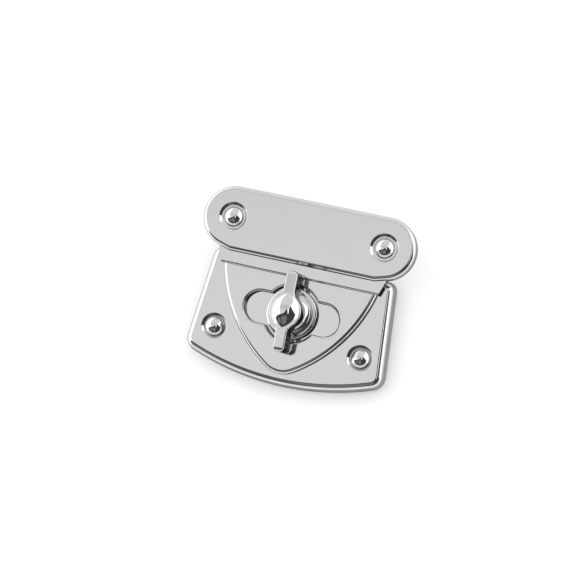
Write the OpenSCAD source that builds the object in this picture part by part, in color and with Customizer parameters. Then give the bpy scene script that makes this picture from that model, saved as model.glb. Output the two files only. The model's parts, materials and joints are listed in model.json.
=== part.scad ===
// Bag twist lock: a plate with a round boss carries a winged turn knob, and a slotted
// shield-shaped tongue under a bar drops over the knob, which is then turned across the slot.
// Millimetres. X runs along the bar, Y from the base plate up to the bar, +Z out of the bag.
// The origin lies in the middle of the footprint, level with the tips of the rivet shanks.

/* [Base plate] */
// Width of the base plate at its top corners
base_top_w = 43.6; // [42:0.2:46]
// Width of the base plate at its lower corners
base_low_w = 47.2; // [45:0.2:52]
// Height of the top edge above the knob's axis
base_top_y = 11.9; // [11:0.1:12.8]
// Depth of the curved lower edge below the knob's axis, at the middle
base_drop = 16.6; // [15.5:0.1:19]
// Depth of the lower corners' centres below the knob's axis
base_corner_y = 9.8; // [8.5:0.1:11]
// Radius of the upper corners
base_top_r = 2.3; // [2.2:0.1:3]
// Radius of the lower corners
base_low_r = 3.2; // [2.2:0.1:4.5]
// Thickness of the base plate
base_t = 3.4; // [2.6:0.1:4]
// Rounding of the base plate's upper edge
base_edge = 1.5; // [0.8:0.1:1.7]
// Slope of the base plate's wall, from its rounding out to its back
base_lean = 0.4; // [0.1:0.05:0.5]

/* [Boss and bearing] */
// Radius of the round boss that carries the knob
boss_r = 5.85; // [5:0.05:6.5]
// Height of the boss above the face of the tongue
boss_proud = 0.3; // [0:0.1:1]
// Rounding of the boss's rim
boss_edge = 0.7; // [0.2:0.1:0.8]
// Radius of the knob's stem
stem_r = 2; // [1.6:0.1:2.4]
// Running clearance around the stem
stem_clear = 0.05; // [0.02:0.01:0.1]
// Clearance between the knob's skirt and the boss
seat_clear = 0.1; // [0.05:0.05:0.3]

/* [Flap plate] */
// Distance between the two rivets of the bar
bar_rivet_gap = 35.6; // [33:0.1:40]
// Radius of the bar's round ends
bar_end_r = 7.15; // [6:0.05:8]
// Height of the bar's centre line above the knob's axis
bar_y = 18.65; // [18.4:0.05:22]
// Thickness of the bar
bar_t = 3.3; // [2.8:0.1:4.5]
// Rounding of the bar's upper edge
bar_edge = 1.1; // [0.6:0.1:1.2]
// Depth of the lip along the bar's lower edge
lip_drop = 0.5; // [0.3:0.1:1]
// Radius of the lip's corners
lip_r = 1.5; // [1.5:0.1:2.5]
// Width of the lip at its free edge
lip_w = 36.8; // [33:0.2:38]
// Width of the strip below the lip, at its lower edge
strip_w = 37; // [36.6:0.1:38]
// Widening of the strip towards the bar
strip_flare = 2.3; // [0:0.1:2.6]
// Rounding of the strip's lower edge
strip_edge = 0.5; // [0.2:0.05:0.7]
// Height of the strip's lower edge above the knob's axis
strip_y = 8.1; // [7.6:0.1:9]
// Thickness of the strip
strip_t = 2.2; // [2:0.1:2.6]
// Width of the shield's shoulders, at the strip's lower edge
shield_w = 36.3; // [34:0.1:36.6]
// Depth of the shield's tip below the knob's axis
shield_drop = 13.85; // [13.2:0.05:15]
// Radius of the shield's curved sides
shield_side_r = 34; // [28:1:45]
// Radius of the shield's tip
shield_tip_r = 6; // [4:0.5:8]
// Thickness of the shield
shield_t = 1.45; // [1.3:0.05:1.8]
// Rounding of the shield's upper edge
shield_edge = 1; // [0.5:0.05:1.25]
// Gap between the base plate and the tongue that lies on it
flap_gap = 0.1; // [0.05:0.05:0.3]
// Thickness of the bar's roof over its hollow back
bar_roof = 1.4; // [1:0.1:2]
// Thickness of the bar's walls around its hollow back
bar_wall = 1.5; // [1:0.1:2.5]
// Radius of the hollow's corners
hollow_r = 1.5; // [0.5:0.1:3]

/* [Keyhole slot] */
// Clearance around the boss
hole_clear = 0.6; // [0.3:0.05:1]
// Clearance beyond each wing of the knob
slot_end_clear = 1.9; // [0.5:0.1:2.2]
// Clearance beside each wing of the knob
slot_side_clear = 2.3; // [0.5:0.1:2.6]
// Rounding of the slot's upper edge
slot_edge = 0.6; // [0.2:0.05:0.7]

/* [Turn knob] */
// Length of the knob across both wings
wing_span = 18.4; // [16:0.2:19.2]
// Width of a wing
wing_w = 2.6; // [2.5:0.1:3.2]
// Rounding of a wing's tip in plan
wing_tip_r = 1.2; // [0.4:0.1:1.2]
// Height of a wing at its tip
wing_tip_h = 5.3; // [3:0.1:5.6]
// Height of the knob's rim above the wings' underside
rim_h = 5.9; // [5.6:0.1:7]
// Radius of the bulb between the wings
bulb_r = 3.65; // [3:0.05:4.2]
// Radius that blends the bulb into the wings
bulb_blend = 3; // [2:0.1:3.5]
// Width of the rim around the domed eye
rim_w = 0.45; // [0.3:0.05:0.8]
// Half the length of the domed eye
eye_half_len = 4.2; // [3.9:0.1:4.8]
// Height of the domed eye above the rim
eye_h = 1.5; // [0.8:0.1:1.8]
// Radius of the domed eye across the wings' line, at its highest point
eye_cross_r = 4.1; // [3.5:0.1:5]
// Clearance between the wings and the strip that they hold down
wing_clear = 0.5; // [0.3:0.1:1]
// Radius of the skirt that covers the stem's bore
skirt_r = 4.9; // [4.2:0.1:5]
// Height of the skirt's straight wall
skirt_h = 0.6; // [0.4:0.1:0.8]
// Radius of the concave flare from the skirt up to the neck
flare_r = 1.8; // [1.2:0.1:2]
// Turn of the knob away from square to the slot, in degrees
rest_turn = 2; // [-5:1:5]

/* [Spring and retainer] */
// Outer radius of the retaining washer
washer_r = 3.5; // [3:0.1:4]
// Thickness of the retaining washer
washer_t = 0.6; // [0.4:0.1:0.8]
// Radius of the stem's end inside the retaining washer
spigot_r = 1.4; // [1:0.05:1.5]
// Clearance of the retaining washer on the stem's end
spigot_clear = 0.02; // [0.01:0.01:0.05]
// Height of the staked head below the retaining washer
stake_h = 0.35; // [0.2:0.05:0.5]
// Spread of the staked head beyond the stem's end
stake_spread = 0.5; // [0.3:0.05:0.8]
// Depth of the staked head inside the base plate's back
stake_recess = 0.2; // [0.1:0.05:0.4]
// Clearance around the washers in their pocket
pocket_clear = 0.4; // [0.3:0.05:0.8]
// Thickness of the spring washer
spring_t = 0.3; // [0.2:0.02:0.4]
// Height of the dished spring washer
spring_h = 0.66; // [0.5:0.02:0.8]
// Clearance of the spring washer on the stem and over the retaining washer
spring_clear = 0.08; // [0.05:0.01:0.12]

/* [Rivets] */
// Distance between the two rivets of the base plate
base_rivet_gap = 34.6; // [33:0.1:36]
// Depth of the base plate's rivets below the knob's axis
base_rivet_y = 6.5; // [5.5:0.1:8]
// Radius of a rivet's domed head
head_r = 2.35; // [1.8:0.05:2.4]
// Height of a rivet's domed head
head_h = 1.35; // [1:0.05:1.8]
// Radius of a rivet's shank behind its plate
shank_r = 1.1; // [0.8:0.05:1.4]
// Width of the collar that fills the plate's hole, beyond the shank
collar_w = 0.3; // [0.2:0.05:0.4]
// Clearance of the collar in its hole
collar_clear = 0.1; // [0.05:0.05:0.3]
// Length of shank that stands out behind the base plate
shank_out = 2.5; // [2:0.1:5]
// Radius of the hole in the shank's end
tube_r = 0.65; // [0.4:0.05:0.7]
// Depth of the hole in the shank's end
tube_depth = 1; // [0.6:0.1:1.2]
// Radius of the dished seats in the bar
bar_dish_r = 3.3; // [3:0.05:3.6]
// Depth of the dished seats in the bar
bar_dish_depth = 0.35; // [0.3:0.05:1]
// Radius of the dished seats in the base plate
base_dish_r = 3; // [3:0.05:3.4]
// Depth of the dished seats in the base plate
base_dish_depth = 0.35; // [0.3:0.05:0.8]
// Width of the dishes' sloping wall
dish_wall = 0.6; // [0.3:0.05:0.6]

/* [Hidden] */
SIDES = [-1, 1];
hull_fn = 32;
bar_fn = 48;
$fn = 96;
// Overlap that joins solids of one piece and carries cuts through a face
bite = 0.2;
nickel = [0.80, 0.80, 0.80];
dull_steel = [0.62, 0.62, 0.63];

// Levels above the tips of the rivet shanks
base_back = shank_out;
base_top = base_back + base_t;
flap_under = base_top + flap_gap;
shield_top = flap_under + shield_t;
strip_top = flap_under + strip_t;
bar_top = flap_under + bar_t;
boss_top = shield_top + boss_proud;
skirt_under = boss_top + seat_clear;
wing_under = strip_top + wing_clear;
rim_top = wing_under + rim_h;
stake_under = base_back + stake_recess;
washer_under = stake_under + stake_h;
washer_top = washer_under + washer_t;
spring_low = washer_top + spring_clear;
pocket_roof = spring_low + spring_h;

// Collar of the rivets inside their plates
collar_r = shank_r + collar_w;

// Lower edge of the bar's round ends, above the knob's axis
bar_low = bar_y - bar_end_r;

// Middle of the footprint, as a height above the knob's axis
mid_y = (bar_y + bar_end_r - base_drop) / 2;

// Keyhole slot in the tongue
hole_r = boss_r + hole_clear;
lobe_r = wing_w / 2 + slot_side_clear;
lobe_x = wing_span / 2 + slot_end_clear - lobe_r;

// Lower corner of the base plate, and the arc that runs under both corners
corner = [base_low_w / 2 - base_low_r, -base_corner_y];
arc_in = base_drop - base_low_r;
arc_cy = (corner.x ^ 2 + corner.y ^ 2 - arc_in ^ 2) / (2 * (arc_in + corner.y));
arc_path_r = arc_cy + arc_in;
arc_half = atan2(corner.x, arc_cy - corner.y);
arc_steps = 5;

// Curved sides of the shield: each arc leaves a shoulder and meets the tip's disc
shoulder = [shield_w / 2, strip_y];
tip_c = [0, shield_tip_r - shield_drop];
side_c = meeting_point(shoulder, shield_side_r, tip_c, shield_side_r - shield_tip_r);
side_from = atan2(tip_c.y - side_c.y, tip_c.x - side_c.x);
side_to = atan2(shoulder.y - side_c.y, shoulder.x - side_c.x);
side_steps = 8;

// Blend between bulb and wing, and the almond outline of the eye
blend_x = wing_w / 2 + bulb_blend;
blend_y = sqrt((bulb_r + bulb_blend) ^ 2 - blend_x ^ 2);
eye_half_w = bulb_r - rim_w;
eye_side_r = (eye_half_len ^ 2 + eye_half_w ^ 2) / (2 * eye_half_w);
eye_ridge_r = (eye_half_len ^ 2 + eye_h ^ 2) / (2 * eye_h);

// Point that lies a from p and b from q, on the right of the way from p to q
function meeting_point(p, a, q, b) =
  let (d = norm(q - p), u = (q - p) / d, along = (d ^ 2 + a ^ 2 - b ^ 2) / (2 * d))
  p + along * u + sqrt(a ^ 2 - along ^ 2) * [u.y, -u.x];

// Half section of a plate from its axis out to w, with a rounded upper edge
module edge_section(w, t, edge) {
  intersection() {
    union() {
      square([w - edge, t]);
      square([w, t - edge]);
      translate([w - edge, t - edge]) circle(edge);
    }
    square([w, t]);
  }
}

// Disc with a rounded upper edge
module edge_disc(r, t, edge) {
  rotate_extrude() edge_section(r, t, edge);
}

// Disc for the base plate's corners, with a foot that makes the wall slope
module base_disc(r) {
  cylinder(h = bite, r = r);
  edge_disc(r - base_lean, base_t, base_edge);
}

// Rectangle with round corners, about the origin
module rounded_rect(w, h, r) {
  square([w - 2 * r, h], center = true);
  square([w, h - 2 * r], center = true);
  for (x = SIDES, y = SIDES) translate([x * (w / 2 - r), y * (h / 2 - r)]) circle(r);
}

// Step along X from y_low to y_high with a rounded lower edge, whose ends widen by flare up to y_flare
module ledge(y_low, y_flare, y_high, w, flare, t, edge) {
  half = w / 2;
  wide = half + flare / 2;
  intersection() {
    translate([-wide, y_high, 0]) rotate([90, 0, 90]) mirror([1, 0, 0])
      linear_extrude(2 * wide) edge_section(y_high - y_low, t, edge);
    linear_extrude(t) polygon([
      [-half, y_low], [half, y_low], [wide, y_flare], [wide, y_high], [-wide, y_high], [-wide, y_flare]
    ]);
  }
}

// Cut for a rivet in a plate with its face at the given height: dished seat and the collar's hole
module rivet_seat(face, dish_r, dish_depth) {
  translate([0, 0, face - dish_depth])
    cylinder(h = dish_depth + bite, r1 = dish_r - dish_wall, r2 = dish_r + dish_wall * bite / dish_depth);
  translate([0, 0, -bite]) cylinder(h = face, r = collar_r + collar_clear);
}

// Base plate: a flared shield of cast metal with a boss for the knob
module base_blank() {
  hull() {
    for (s = SIDES) translate([s * (base_top_w / 2 - base_top_r), base_top_y - base_top_r, base_back])
      base_disc(base_top_r, $fn = hull_fn);
    for (i = [-arc_steps : arc_steps]) let (a = arc_half * i / arc_steps)
      translate([arc_path_r * sin(a), arc_cy - arc_path_r * cos(a), base_back])
        base_disc(base_low_r, $fn = hull_fn);
  }
}

module base_plate() {
  color(nickel) translate([0, -mid_y, 0]) difference() {
    union() {
      base_blank();
      translate([0, 0, base_top - bite]) edge_disc(boss_r, boss_top - base_top + bite, boss_edge);
    }
    cylinder(h = boss_top + bite, r = stem_r + stem_clear);
    cylinder(h = pocket_roof, r = washer_r + pocket_clear);
    for (s = SIDES) translate([s * base_rivet_gap / 2, -base_rivet_y, 0])
      rivet_seat(base_top, base_dish_r, base_dish_depth);
  }
}

// Flap plate: bar, strip and slotted shield in one casting
module bar() {
  hull() for (s = SIDES) {
    translate([s * bar_rivet_gap / 2, bar_y, 0]) edge_disc(bar_end_r, bar_t, bar_edge, $fn = bar_fn);
    translate([s * (lip_w / 2 - lip_r), bar_low - lip_drop + lip_r, 0])
      edge_disc(lip_r, bar_t, bar_edge, $fn = bar_fn);
  }
}

module shield_blank() {
  hull() {
    translate(tip_c) edge_disc(shield_tip_r, shield_t, shield_edge);
    for (s = SIDES, i = [0 : side_steps]) let (a = side_from + (side_to - side_from) * i / side_steps)
      translate([
        s * (side_c.x + (shield_side_r - shield_edge) * cos(a)),
        side_c.y + (shield_side_r - shield_edge) * sin(a), 0
      ]) edge_disc(shield_edge, shield_t, shield_edge, $fn = hull_fn);
  }
}

// Section of the cut that rounds the upper edge of an opening with its wall at r
module edge_cut(r) {
  difference() {
    translate([r - bite, -slot_edge]) square([slot_edge + bite, slot_edge + bite]);
    translate([r + slot_edge, -slot_edge]) circle(slot_edge);
  }
}

// Keyhole slot: a round hole for the boss and a lobe on each side for the wings
module keyhole_slot() {
  cylinder(h = 2 * bar_t, r = hole_r, center = true);
  cube([2 * lobe_x, 2 * lobe_r, 2 * bar_t], center = true);
  for (s = SIDES) translate([s * lobe_x, 0, 0]) cylinder(h = 2 * bar_t, r = lobe_r, center = true);
  translate([0, 0, shield_t]) {
    rotate_extrude() edge_cut(hole_r);
    for (s = SIDES) {
      translate([s * lobe_x, 0, 0]) rotate([0, 0, -90 * s]) rotate_extrude(angle = 180) edge_cut(lobe_r);
      rotate([90, 0, 90 * s]) linear_extrude(2 * lobe_x, center = true) edge_cut(lobe_r);
    }
  }
}

// Hollow in the bar's back, between the two rivets
module bar_hollow() {
  hollow_w = bar_rivet_gap - 2 * (bar_dish_r + bar_wall);
  translate([0, bar_y, -bite]) linear_extrude(bar_t - bar_roof + bite)
    rounded_rect(hollow_w, 2 * (bar_end_r - bar_wall), hollow_r);
}

module flap_plate() {
  color(nickel) translate([0, -mid_y, flap_under]) difference() {
    union() {
      bar();
      ledge(strip_y, bar_low, bar_low + bar_edge, strip_w, strip_flare, strip_t, strip_edge);
      shield_blank();
    }
    keyhole_slot();
    bar_hollow();
    for (s = SIDES) translate([s * bar_rivet_gap / 2, bar_y, 0])
      rivet_seat(bar_t, bar_dish_r, bar_dish_depth);
  }
}

// Plan of the turn knob: bulb, two wings and the blends between them
module knob_plan() {
  circle(bulb_r);
  rounded_rect(wing_w, wing_span, wing_tip_r);
  for (x = SIDES, y = SIDES) difference() {
    polygon([[0, 0], [x * blend_x, y * blend_y], [0, y * blend_y]]);
    translate([x * blend_x, y * blend_y]) circle(bulb_blend);
  }
}

// Side view of the wings: flat below, falling from the rim to the tips
module wing_side() {
  polygon([
    [-wing_span / 2, 0], [wing_span / 2, 0], [wing_span / 2, wing_tip_h], [bulb_r, rim_h],
    [-bulb_r, rim_h], [-wing_span / 2, wing_tip_h]
  ]);
}

// Domed eye: a bow turned about a line along the wings and trimmed to an almond
module eye_dome() {
  intersection() {
    translate([0, 0, eye_h - eye_cross_r]) rotate([90, 0, 0]) rotate_extrude() intersection() {
      translate([eye_cross_r - eye_ridge_r, 0]) circle(eye_ridge_r);
      translate([0, -eye_ridge_r]) square([eye_cross_r, 2 * eye_ridge_r]);
    }
    intersection_for (s = SIDES) translate([s * (eye_side_r - eye_half_w), 0, -bite])
      cylinder(h = eye_h + bite, r = eye_side_r);
  }
}

// Stem, skirt and flared neck, turned about the knob's axis
module knob_stem() {
  neck_r = skirt_r - flare_r;
  flare_z = skirt_under + skirt_h;
  rotate_extrude() difference() {
    union() {
      translate([0, washer_top]) square([stem_r, skirt_under + bite - washer_top]);
      translate([0, washer_under - bite]) square([spigot_r, washer_t + 2 * bite]);
      translate([0, stake_under]) square([spigot_r + stake_spread, stake_h]);
      translate([0, skirt_under]) square([skirt_r, skirt_h + flare_r]);
      translate([0, skirt_under]) square([neck_r, rim_top - bite - skirt_under]);
    }
    translate([skirt_r, flare_z + flare_r]) circle(flare_r);
  }
}

module turn_knob() {
  color(nickel) translate([0, -mid_y, 0]) rotate([0, 0, rest_turn]) {
    knob_stem();
    translate([0, 0, wing_under]) intersection() {
      linear_extrude(rim_h) knob_plan();
      translate([-bulb_r, 0, 0]) rotate([90, 0, 90]) linear_extrude(2 * bulb_r) wing_side();
    }
    translate([0, 0, rim_top]) eye_dome();
  }
}

// Dished spring washer between the retaining washer and the pocket's roof
module spring_washer() {
  inner_r = stem_r + spring_clear;
  color(dull_steel) translate([0, -mid_y, spring_low]) rotate_extrude() polygon([
    [inner_r, 0], [washer_r, spring_h - spring_t], [washer_r, spring_h], [inner_r, spring_t]
  ]);
}

// Retaining washer staked on the stem's end
module retaining_washer() {
  color(dull_steel) translate([0, -mid_y, washer_under]) difference() {
    cylinder(h = washer_t, r = washer_r);
    translate([0, 0, -bite]) cylinder(h = washer_t + 2 * bite, r = spigot_r + spigot_clear);
  }
}

// Rivet with a domed head on its seat, a collar down to the plate's back and a hollow-ended shank
module rivet(back, seat) {
  dome_r = (head_r ^ 2 + head_h ^ 2) / (2 * head_h);
  color(nickel) difference() {
    union() {
      cylinder(h = back + bite, r = shank_r);
      translate([0, 0, back]) cylinder(h = seat + bite - back, r = collar_r);
      translate([0, 0, seat]) intersection() {
        translate([0, 0, head_h - dome_r]) sphere(dome_r);
        cylinder(h = head_h, r = head_r);
      }
    }
    translate([0, 0, -bite]) cylinder(h = tube_depth + bite, r = tube_r);
  }
}

module base_rivet(side) {
  translate([side * base_rivet_gap / 2, -base_rivet_y - mid_y, 0])
    rivet(base_back, base_top - base_dish_depth);
}

module flap_rivet(side) {
  translate([side * bar_rivet_gap / 2, bar_y - mid_y, 0])
    rivet(flap_under, bar_top - bar_dish_depth);
}

base_plate();
flap_plate();
turn_knob();
spring_washer();
retaining_washer();
base_rivet(-1);  // base_rivet_left
base_rivet(1);  // base_rivet_right
flap_rivet(-1);  // flap_rivet_left
flap_rivet(1);  // flap_rivet_right
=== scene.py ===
import json
import math

import bmesh
import bpy
import numpy as np
from mathutils import Matrix, Vector
from mathutils.geometry import tessellate_polygon


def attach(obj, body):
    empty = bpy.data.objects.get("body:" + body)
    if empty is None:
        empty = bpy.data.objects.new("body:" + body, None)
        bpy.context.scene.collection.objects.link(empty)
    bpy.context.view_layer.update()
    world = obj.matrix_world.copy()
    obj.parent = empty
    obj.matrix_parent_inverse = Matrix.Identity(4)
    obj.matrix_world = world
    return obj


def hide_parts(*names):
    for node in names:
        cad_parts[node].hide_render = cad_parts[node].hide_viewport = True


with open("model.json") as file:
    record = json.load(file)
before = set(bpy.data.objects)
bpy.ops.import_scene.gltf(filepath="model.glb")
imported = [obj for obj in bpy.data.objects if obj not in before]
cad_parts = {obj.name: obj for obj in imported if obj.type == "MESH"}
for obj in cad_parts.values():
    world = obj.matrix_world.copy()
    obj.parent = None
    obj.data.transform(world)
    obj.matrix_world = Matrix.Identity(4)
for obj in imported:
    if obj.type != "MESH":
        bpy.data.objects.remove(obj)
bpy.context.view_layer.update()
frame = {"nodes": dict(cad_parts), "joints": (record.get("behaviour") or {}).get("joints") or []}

# Base plate
# The plate fixed to the bag's front: a flared shield of die-cast zinc with rounded edges, nickel plated.
# A round boss in its middle carries the knob, and two dished seats take the rivets. Sizes are in
# millimetres, about the knob's axis, with heights above the tips of the rivet shanks.
MM = 0.001
knob_axis = Vector(frame["joints"][0]["pos_m"])

base_back = 2.5
base_t = 3.4
base_top = base_back + base_t
base_edge = 1.5
base_lean = 0.4
base_top_w = 43.6
base_top_y = 11.9
base_top_r = 2.3
base_low_w = 47.2
base_corner_y = 9.8
base_low_r = 3.2
base_drop = 16.6
back_edge = 0.25

boss_r = 5.85
boss_top = 7.75
boss_edge = 0.25
boss_slope = 27
boss_slope_w = 0.6
bore_r = 2.05
bore_edge = 0.15
pocket_r = 3.9
pocket_roof = 4.39

base_rivet_x = 17.3
base_rivet_y = -6.5
base_dish_r = 3.0
base_dish_depth = 0.35
dish_wall = 0.6
dish_edge = 0.3
dish_foot = 0.2
rivet_hole_r = 1.5

ARC_STEP = math.radians(5)
ARC_CHORD = 0.5
EDGE_STEPS = 9


def arc(centre, r, start, end):
    """Points along an arc between two angles, in degrees; the end is below the start if it runs clockwise."""
    sweep = math.radians(end - start)
    count = math.ceil(max(abs(sweep) / ARC_STEP, abs(sweep) * r / ARC_CHORD, 1))
    angles = [math.radians(start) + sweep * i / count for i in range(count + 1)]
    return [(centre[0] + r * math.cos(a), centre[1] + r * math.sin(a)) for a in angles]


def direction(a, b):
    """Angle of the way from a to b, in degrees."""
    return math.degrees(math.atan2(b[1] - a[1], b[0] - a[0]))


def mirrored(points):
    """The same line on the other side of the plate's middle, carrying on where the first one ends."""
    return [(-x, y) for x, y in reversed(points)]


def closed(points):
    """A closed outline, without the points that repeat where two stretches meet."""
    return [p for i, p in enumerate(points) if math.dist(p, points[i - 1]) > 1e-6]


def inset(outline, depth):
    """The outline moved inwards by a depth, square to its edges; a negative depth moves it outwards."""
    p = np.array(outline)
    ahead = np.roll(p, -1, axis=0) - p
    ahead /= np.linalg.norm(ahead, axis=1)[:, None]
    inward = np.c_[-ahead[:, 1], ahead[:, 0]]
    before = np.roll(inward, 1, axis=0)
    bend = 1 + (inward * before).sum(axis=1)
    return p + depth * (inward + before) / bend[:, None]


def quarter(r, hollow=False):
    """(inset, height) along a rounded edge, from its wall up to its face; a hollow one bows the other way."""
    turn = [math.pi / 2 * i / EDGE_STEPS for i in range(EDGE_STEPS + 1)]
    if hollow:
        return [(r * math.sin(t), r - r * math.cos(t)) for t in turn]
    return [(r - r * math.cos(t), r * math.sin(t)) for t in turn]


def plate_rings(outline, back, top, edge, lean=0.0):
    """Rings up the wall of a plate, from its back with a small rounding to its face with a larger one.

    A lean draws the wall in on its way up, and the rounding carries on from that slope.
    """
    low = [(d, back + back_edge - h) for d, h in reversed(quarter(back_edge))]
    high = [(lean + d, top - edge + h) for d, h in quarter(edge)]
    return [[(x, y, z) for x, y in inset(outline, d)] for d, z in low + high]


def turned_rings(centre, profile):
    """Rings about an upright axis, one for each (radius, height) of the profile."""
    count = 72
    ring = [(math.cos(2 * math.pi * i / count), math.sin(2 * math.pi * i / count)) for i in range(count)]
    return [[(centre[0] + r * x, centre[1] + r * y, z) for x, y in ring] for r, z in profile]


def add_wall(shell, rings):
    """Faces between rings that follow each other; gives the corners of the first and the last ring."""
    rows = [[shell.verts.new(p) for p in ring] for ring in rings]
    for low, high in zip(rows, rows[1:]):
        for i in range(len(low)):
            shell.faces.new((low[i - 1], low[i], high[i], high[i - 1]))
    return rows[0], rows[-1]


def add_cover(shell, *loops):
    """Flat faces inside the first ring of corners and outside the others."""
    corners = [v for loop in loops for v in loop]
    for triangle in tessellate_polygon([[v.co for v in loop] for loop in loops]):
        shell.faces.new([corners[i] for i in triangle])


def dish_profile(face, back, dish_r, depth):
    """Dished rivet seat and its hole, from the plate's face down to its back."""
    floor = face - depth
    slope = math.atan2(depth, dish_wall)
    turn = [slope * i / EDGE_STEPS for i in range(EDGE_STEPS + 1)]
    rim_r = dish_r + dish_edge * math.tan(slope / 2)
    foot_r = dish_r - dish_wall - dish_foot * math.tan(slope / 2)
    rim = [(rim_r - dish_edge * math.sin(t), face - dish_edge * (1 - math.cos(t))) for t in turn]
    foot = [(foot_r + dish_foot * math.sin(t), floor + dish_foot * (1 - math.cos(t))) for t in reversed(turn)]
    return rim + foot + [(rivet_hole_r, floor), (rivet_hole_r, back)]


def polish(mesh):
    """Smooth shading over gentle bends, weighted by whole flat faces so that those stay flat mirrors."""
    count = len(mesh.polygons)
    normal, centre, area = np.empty(count * 3), np.empty(count * 3), np.empty(count)
    mesh.polygons.foreach_get("normal", normal)
    mesh.polygons.foreach_get("center", centre)
    mesh.polygons.foreach_get("area", area)
    normal, centre = normal.reshape(-1, 3), centre.reshape(-1, 3) / MM
    plane = np.round(np.c_[normal, (normal * centre).sum(axis=1)], 3)
    patch = np.unique(plane, axis=0, return_inverse=True)[1].ravel()
    weight = np.bincount(patch, area)[patch]
    vertex = np.empty(len(mesh.loops), int)
    mesh.loops.foreach_get("vertex_index", vertex)
    face = np.repeat(np.arange(count), [p.loop_total for p in mesh.polygons])
    corner_normal = normal[face]
    order = np.argsort(vertex, kind="stable")
    gentle = math.cos(math.radians(35))
    for corners in np.split(order, np.flatnonzero(np.diff(vertex[order])) + 1):
        around = normal[face[corners]]
        near = (around @ around.T) >= gentle
        corner_normal[corners] = near @ (around * weight[face[corners], None])
    mesh.shade_smooth()
    mesh.normals_split_custom_set(corner_normal / np.linalg.norm(corner_normal, axis=1)[:, None])


def casting(name, shell, turn=0.0):
    """A mesh object of a closed shell in millimetres about the knob's axis, put in its place in metres."""
    bmesh.ops.remove_doubles(shell, verts=shell.verts, dist=1e-4)
    bmesh.ops.dissolve_degenerate(shell, edges=shell.edges, dist=1e-5)
    bmesh.ops.recalc_face_normals(shell, faces=shell.faces)
    place = Matrix.Translation((knob_axis.x, knob_axis.y, 0)) @ Matrix.Rotation(turn, 4, "Z")
    shell.transform(place @ Matrix.Scale(MM, 4))
    mesh = bpy.data.meshes.new(name)
    shell.to_mesh(mesh)
    shell.free()
    made = bpy.data.objects.new(name, mesh)
    bpy.context.scene.collection.objects.link(made)
    return made


def nickel(name, tone, smear):
    """Polished nickel plate: a mirror with faint smears, fine polishing marks and a slightly uneven skin.

    Upright walls are toned down with painted shade, a choice of looks, so that they show grey against a white
    table.
    """
    material = bpy.data.materials.new(name)
    material.use_nodes = True
    nodes, links = material.node_tree.nodes, material.node_tree.links
    shader = nodes["Principled BSDF"]
    shader.inputs["Metallic"].default_value = 1.0
    shader.inputs["Specular Tint"].default_value = edge_tone
    place = nodes.new("ShaderNodeTexCoord")

    def noise(scale, detail, stretch=(1, 1, 1)):
        mapping = nodes.new("ShaderNodeMapping")
        mapping.inputs["Scale"].default_value = [scale / MM * s for s in stretch]
        links.new(place.outputs["Object"], mapping.inputs["Vector"])
        texture = nodes.new("ShaderNodeTexNoise")
        texture.inputs["Scale"].default_value = 1.0
        texture.inputs["Detail"].default_value = detail
        links.new(mapping.outputs["Vector"], texture.inputs["Vector"])
        return texture.outputs["Fac"]

    smears = noise(0.16, 3.0)
    marks = noise(0.9, 4.0, (0.35, 6.0, 1.0))
    skin = noise(0.35, 2.0)

    colour = nodes.new("ShaderNodeMixRGB")
    colour.inputs["Color1"].default_value = (*[c * 0.97 for c in tone], 1)
    colour.inputs["Color2"].default_value = (*[min(c * 1.03, 1) for c in tone], 1)
    links.new(smears, colour.inputs["Fac"])
    upright = nodes.new("ShaderNodeSeparateXYZ")
    links.new(place.outputs["Normal"], upright.inputs["Vector"])
    # Painted shade: the colour is darkened on upright walls, by the height of the object-space normal.
    wall_shade_mask = nodes.new("ShaderNodeMapRange")
    wall_shade_mask.inputs["From Min"].default_value = 0.3
    wall_shade_mask.inputs["From Max"].default_value = 0.75
    wall_shade_mask.inputs["To Min"].default_value = painted_wall_shade
    wall_shade_mask.inputs["To Max"].default_value = 1.0
    links.new(upright.outputs["Z"], wall_shade_mask.inputs["Value"])
    shaded = nodes.new("ShaderNodeMixRGB")
    shaded.blend_type = "MULTIPLY"
    shaded.inputs["Fac"].default_value = 1.0
    links.new(colour.outputs["Color"], shaded.inputs["Color1"])
    links.new(wall_shade_mask.outputs["Result"], shaded.inputs["Color2"])
    links.new(shaded.outputs["Color"], shader.inputs["Base Color"])

    sheen = nodes.new("ShaderNodeMath")
    sheen.operation = "MULTIPLY_ADD"
    sheen.inputs[1].default_value = 0.4
    links.new(marks, sheen.inputs[0])
    links.new(smears, sheen.inputs[2])
    roughness = nodes.new("ShaderNodeMapRange")
    roughness.inputs["From Min"].default_value = 0.3
    roughness.inputs["From Max"].default_value = 1.1
    roughness.inputs["To Min"].default_value = 0.6 * smear
    roughness.inputs["To Max"].default_value = 1.5 * smear
    links.new(sheen.outputs["Value"], roughness.inputs["Value"])
    links.new(roughness.outputs["Result"], shader.inputs["Roughness"])

    bump = nodes.new("ShaderNodeBump")
    bump.inputs["Strength"].default_value = 0.25
    bump.inputs["Distance"].default_value = 0.02 * MM
    links.new(skin, bump.inputs["Height"])
    links.new(bump.outputs["Normal"], shader.inputs["Normal"])
    return material


# How bright upright walls are left by the painted shade.
painted_wall_shade = 0.5
edge_tone = (0.45, 0.45, 0.45, 1)
nickel_tone = (0.82, 0.82, 0.82)
plate_nickel = nickel("plate_nickel", nickel_tone, 0.09)

top_c = (base_top_w / 2 - base_top_r, base_top_y - base_top_r)
low_c = (base_low_w / 2 - base_low_r, -base_corner_y)
arc_in = base_drop - base_low_r
arc_cy = (low_c[0] ** 2 + low_c[1] ** 2 - arc_in ** 2) / (2 * (arc_in + low_c[1]))
arc_c = (0, arc_cy)
arc_r = arc_cy + base_drop
arc_end = direction(arc_c, low_c)
side_lean = math.degrees(math.acos((base_top_r - base_low_r) / math.dist(top_c, low_c)))
side_normal = direction(top_c, low_c) + side_lean

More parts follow.
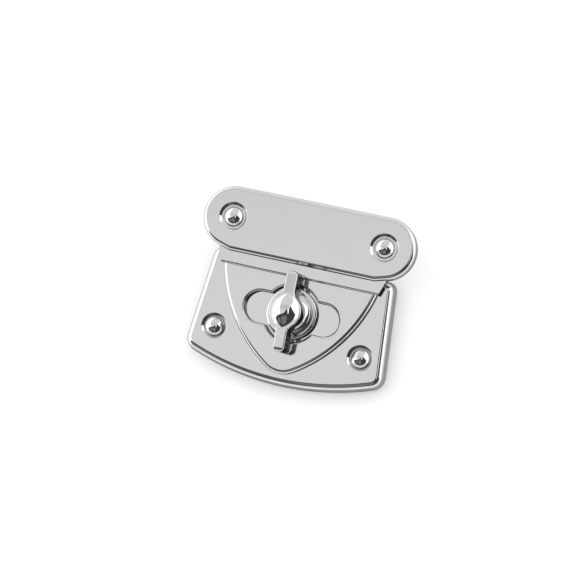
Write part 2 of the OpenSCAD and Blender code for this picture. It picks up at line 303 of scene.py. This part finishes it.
right_side = arc(low_c, base_low_r, arc_end, side_normal) + arc(top_c, base_top_r, side_normal, 90)
lower_edge = arc(arc_c, arc_r, -180 - arc_end, arc_end)
base_outline = closed(right_side + mirrored(right_side) + lower_edge)

slope_h = boss_slope_w * math.tan(math.radians(boss_slope))
tilt = [math.radians(90 + (boss_slope - 90) * i / EDGE_STEPS) for i in range(EDGE_STEPS + 1)]
round_h = boss_edge * math.cos(tilt[-1])
round_c = (boss_r - boss_edge, boss_top - slope_h - round_h)
boss_rim = [(round_c[0] + boss_edge * math.sin(t), round_c[1] + boss_edge * math.cos(t)) for t in tilt]
boss_rim.append((boss_rim[-1][0] - boss_slope_w, boss_top))
bore_rim = [(bore_r + d, boss_top - bore_edge + h) for d, h in reversed(quarter(bore_edge))]
boss_profile = [
    (boss_r, base_top), *boss_rim, *bore_rim, (bore_r, pocket_roof), (pocket_r, pocket_roof),
    (pocket_r, base_back)
]

shell = bmesh.new()
back_loop, top_loop = add_wall(shell, plate_rings(base_outline, base_back, base_top, base_edge, base_lean))
openings = [add_wall(shell, turned_rings((0, 0), boss_profile))]
for x in (-base_rivet_x, base_rivet_x):
    seat = dish_profile(base_top, base_back, base_dish_r, base_dish_depth)
    openings.append(add_wall(shell, turned_rings((x, base_rivet_y), seat)))
add_cover(shell, top_loop, *[top for top, _ in openings])
add_cover(shell, back_loop, *[back for _, back in openings])
base_plate = casting("base_casting", shell)
polish(base_plate.data)
base_plate.data.materials.append(plate_nickel)
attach(base_plate, "lock")
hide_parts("base_plate")

# Spring washer and retaining washer
# Two stamped steel washers in the pocket behind the boss. The dished one draws the knob down on the
# boss, and the flat one is staked on the end of the knob's stem and turns with it.


def stamped_steel(name, tone):
    """Bare stamped steel with turned marks about the knob's axis and a few darker stains."""
    material = bpy.data.materials.new(name)
    material.use_nodes = True
    nodes, links = material.node_tree.nodes, material.node_tree.links
    shader = nodes["Principled BSDF"]
    shader.inputs["Metallic"].default_value = 1.0
    place = nodes.new("ShaderNodeTexCoord")
    centred = nodes.new("ShaderNodeMapping")
    centred.inputs["Location"].default_value = (-knob_axis.x / MM, -knob_axis.y / MM, 0)
    centred.inputs["Scale"].default_value = (1 / MM, 1 / MM, 1 / MM)
    links.new(place.outputs["Object"], centred.inputs["Vector"])
    rings = nodes.new("ShaderNodeTexWave")
    rings.wave_type = "RINGS"
    rings.rings_direction = "Z"
    rings.inputs["Scale"].default_value = 3.0
    rings.inputs["Distortion"].default_value = 1.5
    rings.inputs["Detail"].default_value = 3.0
    links.new(centred.outputs["Vector"], rings.inputs["Vector"])
    stains = nodes.new("ShaderNodeTexNoise")
    stains.inputs["Scale"].default_value = 0.6
    stains.inputs["Detail"].default_value = 4.0
    links.new(centred.outputs["Vector"], stains.inputs["Vector"])
    colour = nodes.new("ShaderNodeMixRGB")
    colour.inputs["Color1"].default_value = (*[c * 0.75 for c in tone], 1)
    colour.inputs["Color2"].default_value = (*tone, 1)
    links.new(stains.outputs["Fac"], colour.inputs["Fac"])
    links.new(colour.outputs["Color"], shader.inputs["Base Color"])
    roughness = nodes.new("ShaderNodeMapRange")
    roughness.inputs["To Min"].default_value = 0.28
    roughness.inputs["To Max"].default_value = 0.42
    links.new(rings.outputs["Fac"], roughness.inputs["Value"])
    links.new(roughness.outputs["Result"], shader.inputs["Roughness"])
    return material


washer_steel = stamped_steel("washer_steel", (0.55, 0.55, 0.56))
for washer in ("spring_washer", "retaining_washer"):
    node = frame["nodes"][washer]
    node.data.materials.clear()
    node.data.materials.append(washer_steel)

# Turn knob
# A winged knob of nickel-plated zinc: a bulb with a domed almond eye on top, two flat wings, a flared
# skirt that sits over the boss, and a stem that runs down through the bore to the staked washer.
rest_turn = math.radians(2)
wing_under = 8.7
wing_span = 18.4
wing_w = 2.6
wing_tip_r = 1.2
tip_soft = 0.9
wing_tip_h = 5.5
rim_h = 5.9
rim_w = 0.45
bulb_r = 3.65
bulb_blend = 3.0
crease_soft = 0.8
eye_half_len = 4.2
eye_h = 1.498
knob_edge = 0.32
knob_foot = 1.0
stem_r = 2.0
spigot_r = 1.4
stake_r = 1.9
stake_under = 2.7
washer_under = 3.05
washer_top = 3.65
skirt_under = 7.85
skirt_r = 4.9
skirt_h = 0.6
skirt_edge = 0.15
flare_r = 1.8
stake_edge = 0.1
core_drop = 1.0
WING_STEPS = 60
TIP_STEPS = 12
EYE_STEPS = 16

blend_x = wing_w / 2 + bulb_blend
blend_y = math.sqrt((bulb_r + bulb_blend) ** 2 - blend_x ** 2)
blend_from = blend_y * bulb_r / (bulb_r + bulb_blend)
tip_from = wing_span / 2 - wing_tip_r
wing_fall = (rim_h - wing_tip_h) / (wing_span / 2 - bulb_r)
eye_half_w = bulb_r - rim_w
eye_side_r = (eye_half_len ** 2 + eye_half_w ** 2) / (2 * eye_half_w)
eye_ridge_r = (eye_half_len ** 2 + eye_h ** 2) / (2 * eye_h)


def knob_half_width(y):
    """Half the knob's width at a distance from its axis along the wings."""
    y = abs(y)
    if y < blend_from:
        return math.sqrt(bulb_r ** 2 - y ** 2)
    if y < blend_y:
        return blend_x - math.sqrt(bulb_blend ** 2 - (blend_y - y) ** 2)
    tip = max(y - tip_from, 0)
    return wing_w / 2 - wing_tip_r + math.sqrt(max(wing_tip_r ** 2 - tip ** 2, 0))


def knob_top(y):
    """Height of the rim and the wings, which fall to the tips after a soft crease and round off there."""
    y = abs(y)
    past = y - bulb_r
    if past > crease_soft:
        fall = past
    else:
        fall = max(past + crease_soft, 0) ** 2 / (4 * crease_soft)
    end = max(y - (wing_span / 2 - tip_soft), 0)
    return wing_under + rim_h - wing_fall * fall - tip_soft + math.sqrt(max(tip_soft ** 2 - end ** 2, 0))


def eye_half_width(y):
    """Half the width of the almond eye, which comes to a point at each end."""
    if abs(y) >= eye_half_len:
        return 0.0
    return math.sqrt(eye_side_r ** 2 - y ** 2) - (eye_side_r - eye_half_w)


def knob_flank(y):
    """Section of one side of the knob, from the middle of its underside out, up and in to the eye."""
    w, top, eye = knob_half_width(y), knob_top(y), eye_half_width(y)
    edge = min(knob_edge, 0.7 * (w - eye))
    foot = min(knob_foot, 0.8 * w)
    low = [(w - d, wing_under + foot - h) for d, h in reversed(quarter(foot))]
    high = [(w - d, top - edge + h) for d, h in quarter(edge)]
    return [(0, wing_under), *low, *high, (eye, top)]


def eye_bow(y):
    """Section of the domed eye: an arc across the almond, as high as the ridge is there."""
    half, top = eye_half_width(y), knob_top(y)
    rise = math.sqrt(eye_ridge_r ** 2 - min(abs(y), eye_half_len) ** 2) - (eye_ridge_r - eye_h)
    across = [i / EYE_STEPS for i in range(-EYE_STEPS, EYE_STEPS + 1)]
    if half < 1e-4 or rise < 1e-4:
        return [(0, top)] * len(across)
    r = (half ** 2 + rise ** 2) / (2 * rise)
    reach = math.asin(half / r) if rise < half else math.pi - math.asin(half / r)
    return [(r * math.sin(reach * s), top + rise - r + r * math.cos(reach * s)) for s in across]


def add_loft(shell, sections):
    """Faces between open sections that follow each other."""
    rows = [[shell.verts.new(p) for p in section] for section in sections]
    for near, far in zip(rows, rows[1:]):
        for i in range(len(near) - 1):
            shell.faces.new((near[i], near[i + 1], far[i + 1], far[i]))
    return rows


tip_turn = [math.pi / 2 * i / TIP_STEPS for i in range(1, TIP_STEPS + 1)]
tip_stations = [tip_from + wing_tip_r * math.sin(t) for t in tip_turn]
half_stations = [tip_from * i / WING_STEPS for i in range(1, WING_STEPS + 1)] + tip_stations + [eye_half_len]
stations = sorted({round(s * y, 6) for y in half_stations for s in (-1, 1)} | {0.0})

shell = bmesh.new()
for side in (-1, 1):
    rows = add_loft(shell, [[(side * x, y, z) for x, z in knob_flank(y)] for y in stations])
    for row in (rows[0], rows[-1]):
        shell.faces.new(row)
eye_stations = [y for y in stations if abs(y) <= eye_half_len]
add_loft(shell, [[(x, y, z) for x, z in eye_bow(y)] for y in eye_stations])
knob_body = casting("knob_body", shell, rest_turn)

core_top = wing_under + rim_h - core_drop
flare_z = skirt_under + skirt_h + flare_r
flare = [(skirt_r - d, flare_z - flare_r + h) for d, h in quarter(flare_r, hollow=True)]
skirt_foot = [(skirt_r - d, skirt_under + skirt_edge - h) for d, h in reversed(quarter(skirt_edge))]
stem_profile = [
    (0, stake_under), (stake_r - stake_edge, stake_under), (stake_r, stake_under + stake_edge),
    (stake_r, washer_under), (spigot_r, washer_under), (spigot_r, washer_top), (stem_r, washer_top),
    (stem_r, skirt_under),
    *skirt_foot, *flare, (skirt_r - flare_r, core_top), (0, core_top)
]
shell = bmesh.new()
add_wall(shell, turned_rings((0, 0), stem_profile))
knob_stem = casting("knob_stem", shell, rest_turn)


def fuse(name, body, *others):
    """One closed casting from shells that run into each other."""
    for other in others:
        join = body.modifiers.new("join", "BOOLEAN")
        join.operation = "UNION"
        join.solver = "EXACT"
        join.object = other
    depsgraph = bpy.context.evaluated_depsgraph_get()
    mesh = bpy.data.meshes.new_from_object(body.evaluated_get(depsgraph))
    mesh.name = name
    for shell_object in (body, *others):
        bpy.data.objects.remove(shell_object)
    made = bpy.data.objects.new(name, mesh)
    bpy.context.scene.collection.objects.link(made)
    polish(mesh)
    return made


knob = fuse("knob_casting", knob_body, knob_stem)
knob.data.materials.append(nickel("knob_nickel", nickel_tone, 0.06))
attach(knob, "knob")
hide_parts("turn_knob")

# Flap plate
# The plate fixed to the bag's flap, one zinc casting under the same nickel: a round-ended bar with a
# lip, a lower strip, and a shield-shaped tongue whose keyhole slot drops over the boss and the knob.
flap_under = 6.0
bar_rivet_x = 17.8
bar_end_r = 7.15
bar_y = 18.65
bar_top = flap_under + 3.3
bar_edge = 1.1
lip_w = 36.8
lip_drop = 0.5
lip_r = 1.5
strip_w = 37.0
strip_flare = 2.3
strip_y = 8.1
strip_top = flap_under + 2.2
strip_edge = 0.5
shield_w = 36.3
shield_drop = 13.85
shield_side_r = 34.0
shield_tip_r = 6.0
shield_top = flap_under + 1.45
shield_edge = 1.0
hole_r = 6.45
lobe_r = 3.6
lobe_x = 7.5
slot_blend_r = 0.7
slot_edge = 0.6
bar_dish_r = 3.3
bar_dish_depth = 0.35
bar_wall = 1.5
bar_roof = 1.4
hollow_r = 1.5


def meeting_point(p, a, q, b):
    """The point that lies a from p and b from q, on the right of the way from p to q."""
    p, q = Vector(p), Vector(q)
    d = (q - p).length
    ahead = (q - p) / d
    along = (d ** 2 + a ** 2 - b ** 2) / (2 * d)
    return p + along * ahead + math.sqrt(a ** 2 - along ** 2) * Vector((ahead.y, -ahead.x))


bar_low = bar_y - bar_end_r
end_c = (bar_rivet_x, bar_y)
lip_c = (lip_w / 2 - lip_r, bar_low - lip_drop + lip_r)
lip_bend = math.degrees(math.acos((bar_end_r - lip_r) / math.dist(lip_c, end_c)))
lip_turn = direction(lip_c, end_c) - 180 + lip_bend
bar_side = arc(lip_c, lip_r, -90, lip_turn) + arc(end_c, bar_end_r, lip_turn, 90)
bar_outline = closed(bar_side + mirrored(bar_side))

hollow_c = (bar_rivet_x - bar_dish_r - bar_wall - hollow_r, bar_end_r - bar_wall - hollow_r)
hollow_side = arc((hollow_c[0], bar_y - hollow_c[1]), hollow_r, -90, 0)
hollow_side += arc((hollow_c[0], bar_y + hollow_c[1]), hollow_r, 0, 90)
hollow_outline = closed(hollow_side + mirrored(hollow_side))
hollow_roof = bar_top - bar_roof

shell = bmesh.new()
back_loop, top_loop = add_wall(shell, plate_rings(bar_outline, flap_under, bar_top, bar_edge))
openings = []
for x in (-bar_rivet_x, bar_rivet_x):
    seat = dish_profile(bar_top, flap_under, bar_dish_r, bar_dish_depth)
    openings.append(add_wall(shell, turned_rings((x, bar_y), seat)))
hollow_edge = [(d, hollow_roof - back_edge + h) for d, h in quarter(back_edge)]
hollow_rings = [[(x, y, z) for x, y in inset(hollow_outline, d)] for d, z in [(0, flap_under), *hollow_edge]]
hollow_back, hollow_top = add_wall(shell, hollow_rings)
add_cover(shell, hollow_top)
add_cover(shell, top_loop, *[top for top, _ in openings])
add_cover(shell, back_loop, hollow_back, *[back for _, back in openings])
bar = casting("bar", shell)

strip_half = strip_w / 2
strip_high = bar_low + bar_edge
strip_section = [(0, flap_under)] + [(d, strip_top - strip_edge + h) for d, h in quarter(strip_edge)]
strip_section += [(strip_high - strip_y, strip_top), (strip_high - strip_y, flap_under)]
strip_reach = [strip_half + strip_flare / 2 * d / (bar_low - strip_y) for d, _ in strip_section]
shell = bmesh.new()
ends = add_wall(shell, [
    [(side * reach, strip_y + d, z) for (d, z), reach in zip(strip_section, strip_reach)] for side in (-1, 1)
])
for end in ends:
    shell.faces.new(end)
strip = casting("strip", shell)

shoulder = (shield_w / 2, strip_y)
shield_high = strip_y + 2 * shield_edge
tip_c = (0, shield_tip_r - shield_drop)
side_c = meeting_point(shoulder, shield_side_r, tip_c, shield_side_r - shield_tip_r)
side_from = direction(side_c, tip_c)
side_to = direction(side_c, shoulder)
shield_side = arc(side_c, shield_side_r, side_from, side_to) + [(shoulder[0], shield_high)]
tip_arc = arc(tip_c, shield_tip_r, -180 - side_from, side_from)
shield_outline = closed(shield_side + mirrored(shield_side) + tip_arc)

cusp_x = math.sqrt((hole_r + slot_blend_r) ** 2 - (lobe_r + slot_blend_r) ** 2)
cusp_c = (cusp_x, lobe_r + slot_blend_r)
cusp_to = direction((0, 0), cusp_c)
slot_quarter = arc((lobe_x, 0), lobe_r, 0, 90)
slot_quarter += arc(cusp_c, slot_blend_r, 270, 180 + cusp_to)
slot_quarter += arc((0, 0), hole_r, cusp_to, 90)
slot_half = slot_quarter + mirrored(slot_quarter)
slot_outline = closed(slot_half + [(-x, -y) for x, y in slot_half])

shell = bmesh.new()
back_loop, top_loop = add_wall(shell, plate_rings(shield_outline, flap_under, shield_top, shield_edge))
slot_rows = [(0, flap_under)] + [(-d, shield_top - slot_edge + h) for d, h in quarter(slot_edge)]
slot_rings = [[(x, y, z) for x, y in inset(slot_outline, d)] for d, z in slot_rows]
slot_back, slot_top = add_wall(shell, slot_rings)
add_cover(shell, top_loop, slot_top)
add_cover(shell, back_loop, slot_back)
shield = casting("shield", shell)

flap_plate = fuse("flap_casting", bar, strip, shield)
flap_plate.data.materials.append(plate_nickel)
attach(flap_plate, "lock")
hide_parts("flap_plate")

# Rivets
# Four nickel-plated steel rivets. Each has a domed head in its dished seat, a collar that fills the
# plate's hole and a hollow-ended shank that goes through the bag and is spread over a washer there.
head_r = 2.35
head_h = 1.35
collar_r = 1.4
shank_r = 1.1
shank_edge = 0.12
tube_r = 0.65
tube_depth = 1.0
head_foot = 0.12
DOME_STEPS = 20
RIVET_TURNS = 64


def rivet_section(back, seat):
    """Half section of a rivet as (radius, height), from the hollow in its shank to the top of its head."""
    dome_r = (head_r ** 2 + head_h ** 2) / (2 * head_h)
    brim = math.asin((head_r - head_foot / 2) / dome_r)
    dome_c = seat + head_h - dome_r
    turn = [brim * i / DOME_STEPS for i in range(DOME_STEPS, -1, -1)]
    dome = [(dome_r * math.sin(t), dome_c + dome_r * math.cos(t)) for t in turn]
    return [
        (0, tube_depth), (tube_r, tube_depth), (tube_r, shank_edge), (tube_r + shank_edge, 0),
        (shank_r - shank_edge, 0), (shank_r, shank_edge), (shank_r, back), (collar_r, back), (collar_r, seat),
        (head_r - head_foot, seat), (head_r, seat + head_foot), *dome
    ]


def rivet_row_tree(material):
    """Node tree that turns a half section about its axis and sets copies of it in a row along X."""
    tree = bpy.data.node_groups.new("rivet_row", "GeometryNodeTree")
    tree.interface.new_socket("Section", in_out="INPUT", socket_type="NodeSocketGeometry")
    tree.interface.new_socket("Spacing", in_out="INPUT", socket_type="NodeSocketFloat")
    tree.interface.new_socket("Row Place", in_out="INPUT", socket_type="NodeSocketVector")
    tree.interface.new_socket("Count", in_out="INPUT", socket_type="NodeSocketInt")
    tree.interface.new_socket("Turning Radius", in_out="INPUT", socket_type="NodeSocketFloat")
    tree.interface.new_socket("Rivets", in_out="OUTPUT", socket_type="NodeSocketGeometry")
    nodes, links = tree.nodes, tree.links
    given = nodes.new("NodeGroupInput").outputs
    section = nodes.new("GeometryNodeMeshToCurve")
    links.new(given["Section"], section.inputs["Mesh"])
    path = nodes.new("GeometryNodeCurvePrimitiveCircle")
    path.inputs["Resolution"].default_value = RIVET_TURNS
    links.new(given["Turning Radius"], path.inputs["Radius"])
    turned = nodes.new("GeometryNodeCurveToMesh")
    links.new(path.outputs["Curve"], turned.inputs["Curve"])
    links.new(section.outputs["Curve"], turned.inputs["Profile Curve"])
    weld = nodes.new("GeometryNodeMergeByDistance")
    weld.inputs["Distance"].default_value = 0.001 * MM
    links.new(turned.outputs["Mesh"], weld.inputs["Geometry"])
    step = nodes.new("ShaderNodeCombineXYZ")
    links.new(given["Spacing"], step.inputs["X"])
    row = nodes.new("GeometryNodeMeshLine")
    links.new(given["Count"], row.inputs["Count"])
    links.new(given["Row Place"], row.inputs["Start Location"])
    links.new(step.outputs["Vector"], row.inputs["Offset"])
    copies = nodes.new("GeometryNodeInstanceOnPoints")
    links.new(row.outputs["Mesh"], copies.inputs["Points"])
    links.new(weld.outputs["Geometry"], copies.inputs["Instance"])
    real = nodes.new("GeometryNodeRealizeInstances")
    links.new(copies.outputs["Instances"], real.inputs["Geometry"])
    finish = nodes.new("GeometryNodeSetMaterial")
    finish.inputs["Material"].default_value = material
    links.new(real.outputs["Geometry"], finish.inputs["Geometry"])
    made = nodes.new("NodeGroupOutput")
    links.new(finish.outputs["Geometry"], made.inputs["Rivets"])
    return tree


def rivet_row(name, tree, spacing, y, section):
    """A pair of rivets as one mesh."""
    turning_r = 10.0
    profile = bpy.data.meshes.new(name + "_section")
    corners = [((r - turning_r) * MM, -z * MM, 0) for r, z in section]
    profile.from_pydata(corners, [(i, i + 1) for i in range(len(corners) - 1)], [])
    maker = bpy.data.objects.new(name + "_maker", profile)
    bpy.context.scene.collection.objects.link(maker)
    modifier = maker.modifiers.new("row", "NODES")
    modifier.node_group = tree
    sizes = {
        "Spacing": spacing * MM, "Row Place": (-spacing / 2 * MM, knob_axis.y + y * MM, 0), "Count": 2,
        "Turning Radius": turning_r * MM
    }
    for item in tree.interface.items_tree:
        if item.name in sizes:
            modifier[item.identifier] = sizes[item.name]
    depsgraph = bpy.context.evaluated_depsgraph_get()
    mesh = bpy.data.meshes.new_from_object(maker.evaluated_get(depsgraph))
    bpy.data.objects.remove(maker)
    shell = bmesh.new()
    shell.from_mesh(mesh)
    bmesh.ops.remove_doubles(shell, verts=shell.verts, dist=0.001 * MM)
    bmesh.ops.recalc_face_normals(shell, faces=shell.faces)
    shell.to_mesh(mesh)
    shell.free()
    polish(mesh)
    mesh.name = name
    made = bpy.data.objects.new(name, mesh)
    bpy.context.scene.collection.objects.link(made)
    return made


rivet_tree = rivet_row_tree(nickel("rivet_nickel", nickel_tone, 0.07))
base_section = rivet_section(base_back, base_top - base_dish_depth)
flap_section = rivet_section(flap_under, bar_top - bar_dish_depth)
base_rivets = rivet_row("base_rivets", rivet_tree, 2 * base_rivet_x, base_rivet_y, base_section)
flap_rivets = rivet_row("flap_rivets", rivet_tree, 2 * bar_rivet_x, bar_y, flap_section)
for rivets in (base_rivets, flap_rivets):
    row = rivets.name.removesuffix("s")
    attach(rivets, "lock")
    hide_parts(row + "_left", row + "_right")

# Camera
# It looks down on the lock from slightly to the right, turned so that the bar slopes down to the right.
aim = Vector((-2.8795, 5.6627, 3.7))
target = aim * MM + Vector((knob_axis.x, knob_axis.y, 0))
view_back = Vector((0.21788, -0.04816, 0.97479)).normalized()
view_distance = 0.44463
view_roll = math.radians(12.3214)
picture_px = 576
focal_px = 1950.3
flat_right = (Vector((1, 0, 0)) - view_back * view_back.x).normalized()
flat_up = view_back.cross(flat_right)
view_right = math.cos(view_roll) * flat_right + math.sin(view_roll) * flat_up
view_up = view_back.cross(view_right)
camera = bpy.data.objects.new("camera", bpy.data.cameras.new("camera"))
camera.data.sensor_width = 36
camera.data.lens = focal_px / picture_px * camera.data.sensor_width
camera.data.clip_start = 0.01
camera.matrix_world = Matrix.Translation(target + view_back * view_distance) @ Matrix(
    (view_right, view_up, view_back)).transposed().to_4x4()
bpy.context.scene.collection.objects.link(camera)
bpy.context.scene.camera = camera

# Floor
# A white table top. What the camera and the metal see of it is made up to white, and it keeps the shadow.
# Close to the part that white is darkened by an ambient occlusion node, a painted contact shadow.
floor_size = 3.0
floor_fill = 0.58
# Reach and depth of the painted contact shadow.
painted_shadow_reach = 0.0045
painted_shadow_depth = 0.9
floor_mesh = bpy.data.meshes.new("floor")
half = floor_size / 2
floor_corners = [(-half, -half, 0), (half, -half, 0), (half, half, 0), (-half, half, 0)]
floor_mesh.from_pydata(floor_corners, [], [(0, 1, 2, 3)])
floor = bpy.data.objects.new("floor", floor_mesh)
bpy.context.scene.collection.objects.link(floor)
table = bpy.data.materials.new("white_table")
table.use_nodes = True
nodes, links = table.node_tree.nodes, table.node_tree.links
paint = nodes["Principled BSDF"]
paint.inputs["Base Color"].default_value = (0.92, 0.92, 0.92, 1)
paint.inputs["Roughness"].default_value = 0.9
paint.inputs["Specular IOR Level"].default_value = 0.0
paint.inputs["Emission Color"].default_value = (1, 1, 1, 1)
path = nodes.new("ShaderNodeLightPath")
seen = nodes.new("ShaderNodeMath")
seen.operation = "ADD"
seen.use_clamp = True
links.new(path.outputs["Is Camera Ray"], seen.inputs[0])
links.new(path.outputs["Is Glossy Ray"], seen.inputs[1])
passed = nodes.new("ShaderNodeMath")
passed.operation = "ADD"
passed.use_clamp = True
links.new(seen.outputs["Value"], passed.inputs[0])
links.new(path.outputs["Is Transmission Ray"], passed.inputs[1])
fill = nodes.new("ShaderNodeMath")
fill.operation = "MULTIPLY"
fill.inputs[1].default_value = floor_fill
links.new(passed.outputs["Value"], fill.inputs[0])
# Painted contact shadow: the made-up white is darkened where the ambient occlusion node finds the part close
# by.
open_air = nodes.new("ShaderNodeAmbientOcclusion")
open_air.samples = 16
open_air.inputs["Distance"].default_value = painted_shadow_reach
painted_contact_shadow = nodes.new("ShaderNodeMapRange")
painted_contact_shadow.inputs["To Min"].default_value = 1 - painted_shadow_depth
links.new(open_air.outputs["AO"], painted_contact_shadow.inputs["Value"])
lifted = nodes.new("ShaderNodeMath")
lifted.operation = "MULTIPLY"
links.new(fill.outputs["Value"], lifted.inputs[0])
links.new(painted_contact_shadow.outputs["Result"], lifted.inputs[1])
links.new(lifted.outputs["Value"], paint.inputs["Emission Strength"])
floor_mesh.materials.append(table)

# Studio
# A light grey tent over the table with a large soft box on each side, and the dark room in front of it, where
# the camera stands. All are given as angles to the side of and above the camera's line of sight, except for
# how low the dark room starts, which is above the table.
tent_grey = 0.78
room_dark = 0.05
room_low = 22
room_soft = 1.5
low_soft = 4
soft_boxes = [
    # side from, side to, lean of each side, height from, height to, brightness, softness
    (-50, 8, 0, 0, 15, 34, 0.60, 6),
    (-180, 180, 0, 0, 34, 90, 0.75, 8),
    (-102, -44, 0, -0.3, -30, 80, 1.35, 2),
    (-14, 84, 1.5, 0, -30, 63, 1.35, 2),
]
room_edge = [
    (-180, 22), (-104, 19), (-78, -14), (-60, -5), (-30, -2), (-17, 2), (-7, 14), (1, 12), (4, -6), (8, -6),
    (11, 16), (20, 24), (37, 3), (57, -15), (64, -9), (67, 4), (82, 26), (180, 30)
]
room_lights = [
    (-60, -42, 0, 0, -36, -16, 0.22, 4),
    (-34, 0, 0, 0, -46, -12, 0.20, 5),
]
world = bpy.data.worlds.new("studio")
world.use_nodes = True
bpy.context.scene.world = world
nodes, links = world.node_tree.nodes, world.node_tree.links


def math_node(operation, *values):
    """A Math node on numbers or sockets."""
    made = nodes.new("ShaderNodeMath")
    made.operation = operation
    for socket, value in zip(made.inputs, values):
        if isinstance(value, bpy.types.NodeSocket):
            links.new(value, socket)
        else:
            socket.default_value = value
    return made.outputs["Value"]


def along(axis):
    """How far the looked-at direction goes along an axis."""
    made = nodes.new("ShaderNodeVectorMath")
    made.operation = "DOT_PRODUCT"
    links.new(sky_way.outputs["Generated"], made.inputs[0])
    made.inputs[1].default_value = axis
    return made.outputs["Value"]


def soft_step(value, edge, soft):
    """0 below an edge and 1 above it, over a soft range, all in degrees."""
    made = nodes.new("ShaderNodeMapRange")
    made.interpolation_type = "SMOOTHSTEP"
    made.inputs["From Min"].default_value = math.radians(edge - soft)
    made.inputs["From Max"].default_value = math.radians(edge + soft)
    links.new(value, made.inputs["Value"])
    return made.outputs["Result"]


def lit(under, inside, brightness):
    """The light with a card of some brightness put over what is under it."""
    return math_node("ADD", under, math_node("MULTIPLY", inside, math_node("SUBTRACT", brightness, under)))


def card(side_low, side_high, lean_low, lean_high, low, high, soft):
    """1 on a card and 0 around it; its sides lean by degrees for each degree of height."""
    left = math_node("SUBTRACT", side_angle, math_node("MULTIPLY", height_angle, lean_low))
    right = math_node("SUBTRACT", side_angle, math_node("MULTIPLY", height_angle, lean_high))
    short_of_right = math_node("SUBTRACT", 1.0, soft_step(right, side_high, soft))
    across = math_node("MULTIPLY", soft_step(left, side_low, soft), short_of_right)
    up = math_node("SUBTRACT", soft_step(height_angle, low, soft), soft_step(height_angle, high, soft))
    return math_node("MULTIPLY", across, up)


sky_way = nodes.new("ShaderNodeTexCoord")
side_angle = math_node("ARCTAN2", along(view_right), along(view_back))
height_angle = math_node("ARCSINE", along(view_up))
light = tent_grey
for *place, brightness, soft in soft_boxes:
    light = lit(light, card(*place, soft), brightness)

edge_line = nodes.new("ShaderNodeValToRGB")
ramp = edge_line.color_ramp.elements
for i, (side, height) in enumerate(room_edge):
    stop = ramp[i] if i < 2 else ramp.new(1.0)
    stop.position = (side + 180) / 360
    stop.color = (*[(height + 90) / 180] * 3, 1)
links.new(math_node("MULTIPLY_ADD", side_angle, 1 / (2 * math.pi), 0.5), edge_line.inputs["Fac"])
line_angle = math_node("MULTIPLY_ADD", edge_line.outputs["Color"], math.pi, -math.pi / 2)
above_line = soft_step(math_node("SUBTRACT", height_angle, line_angle), 0, room_soft)
above_table = math_node("ARCSINE", along((0, 0, 1)))
below_line = math_node("SUBTRACT", 1.0, above_line)
in_room = math_node("MULTIPLY", below_line, soft_step(above_table, room_low, low_soft))
light = lit(light, in_room, room_dark)
for *place, brightness, soft in room_lights:
    light = lit(light, card(*place, soft), brightness)
links.new(light, nodes["Background"].inputs["Strength"])
nodes["Background"].inputs["Color"].default_value = (1, 1, 1, 1)

bpy.context.scene.view_settings.view_transform = "Standard"
